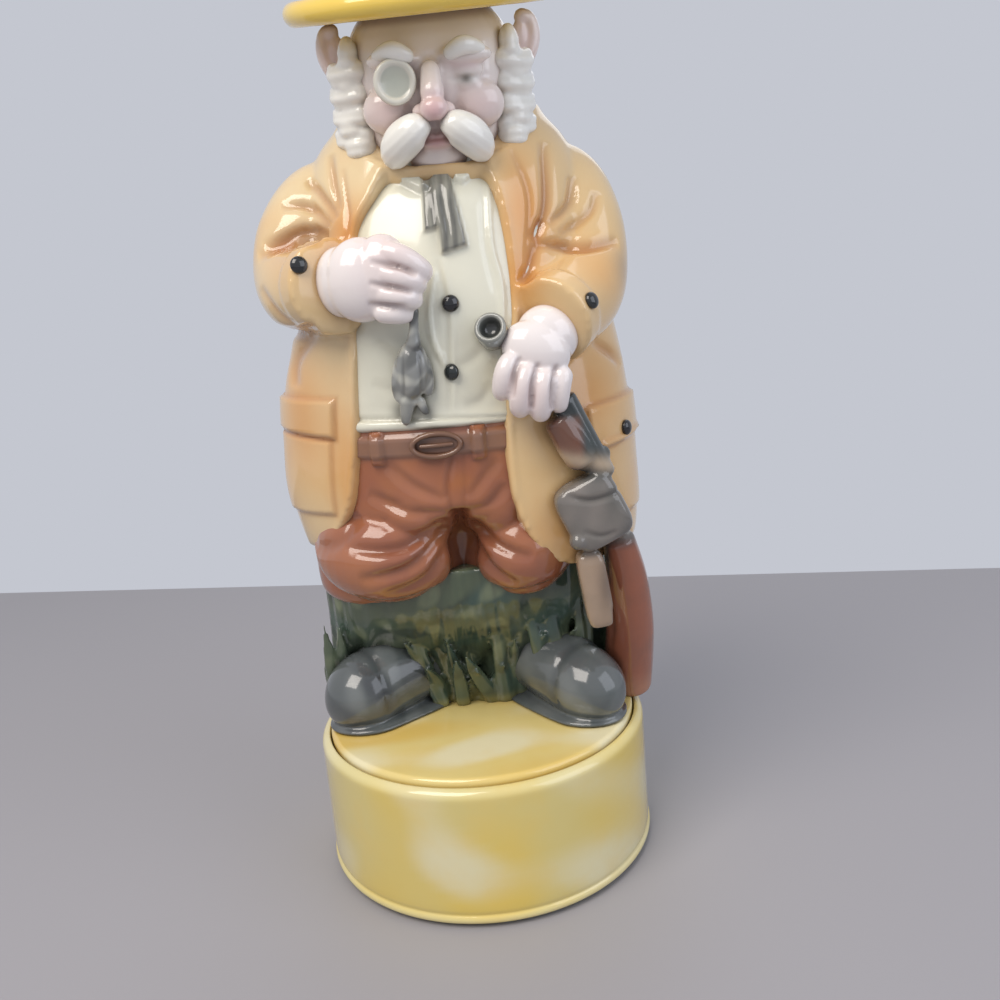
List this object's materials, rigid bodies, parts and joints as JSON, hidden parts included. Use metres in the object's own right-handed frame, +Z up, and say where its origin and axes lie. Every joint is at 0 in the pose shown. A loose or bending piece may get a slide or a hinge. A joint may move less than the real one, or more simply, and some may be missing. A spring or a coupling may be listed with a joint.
{
  "type": "figural liquor decanter",
  "caption": "Glazed ceramic figural liquor decanter: a gamekeeper with a gun and game bird on a round drum, whose head lifts off as the stopper.",
  "frame": {"origin": "middle of the flat underside of the felt under the drum", "axes": "+Z up along the drum's axis, -Y towards the front that the figure faces, +X to the viewer's right"},
  "size_m": [0.1168, 0.11, 0.2959],
  "materials": {
    "felt": "matte felt",
    "drum_glaze": "glossy mottled yellow glaze",
    "figure_glaze": "glossy airbrushed glaze",
    "head_glaze": "glossy airbrushed glaze",
    "cork": "matte cork"
  },
  "bodies": {
    "bottle": {"felt_pad": "felt", "drum_base": "drum_glaze", "figure_bottle": "figure_glaze"},
    "stopper": {"head_stopper": "head_glaze", "cork_plug": "cork"}
  },
  "joints": [
    {"name": "head_lift", "type": "slide", "parent": "bottle", "child": "stopper", "axis": [0, 0, 1], "range_m": [0, 0.06]}
  ]
}
